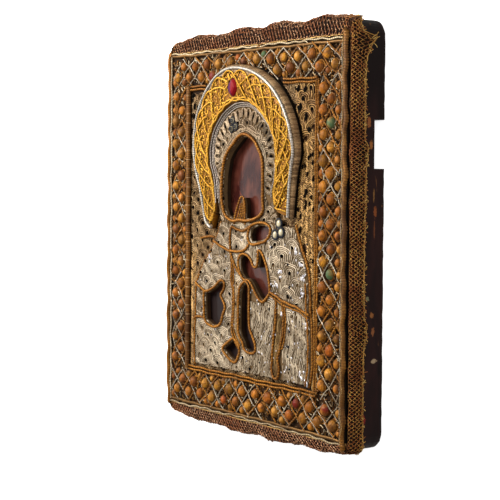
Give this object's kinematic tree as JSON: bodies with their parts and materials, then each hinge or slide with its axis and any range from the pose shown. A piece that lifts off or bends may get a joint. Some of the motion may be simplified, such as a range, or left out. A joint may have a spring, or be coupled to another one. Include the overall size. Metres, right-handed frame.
{
  "type": "embroidered icon",
  "caption": "Wooden icon board under an embroidered metal-thread cover, with a bead lattice border, a lace edge, a padded gold halo and openings on to the dark board.",
  "frame": {"origin": "middle of the outline on the flat back face, on which the icon lies", "axes": "+Z out of the embroidered front, +Y to the top of the icon, +X to the right as seen from the front"},
  "size_m": [0.261, 0.3206, 0.0419],
  "materials": {
    "dark_wood": "old glossy varnish, worn at the edges",
    "batten_wood": "plain, on the hidden side",
    "silver_work": "couched metal thread, tarnished",
    "gold_work": "gold thread and cord over padding",
    "gold_cord": "twisted metal cord, tarnished brown",
    "silver_cord": "twisted metal cord, bright silver",
    "bead_wood": "smooth with a soft shine, in a lattice of metal thread",
    "lace_thread": "open mesh of metal thread, tarnished",
    "red_stone": "cut stone, polished",
    "pale_stone": "cut stone, polished"
  },
  "bodies": {
    "root": {"icon_board": "dark_wood", "lower_batten": "batten_wood", "embroidered_cover": "silver_work", "lace_galloon": "lace_thread", "outer_frame_cord": "gold_cord", "inner_frame_cord": "gold_cord", "face_cord": "gold_cord", "figure_cords": "gold_cord", "beadwork_top": "bead_wood", "beadwork_bottom": "bead_wood", "beadwork_left": "bead_wood", "beadwork_right": "bead_wood", "halo": "gold_work", "halo_edge_cord": "silver_cord", "halo_foot_cord": "silver_cord", "halo_stone": "red_stone", "shoulder_stone_left": "pale_stone", "shoulder_stone_right": "pale_stone", "shoulder_stone_upper": "pale_stone", "hood_stone_left": "pale_stone", "hood_stone_upper": "pale_stone", "hood_stone_right": "pale_stone"}
  },
  "joints": []
}
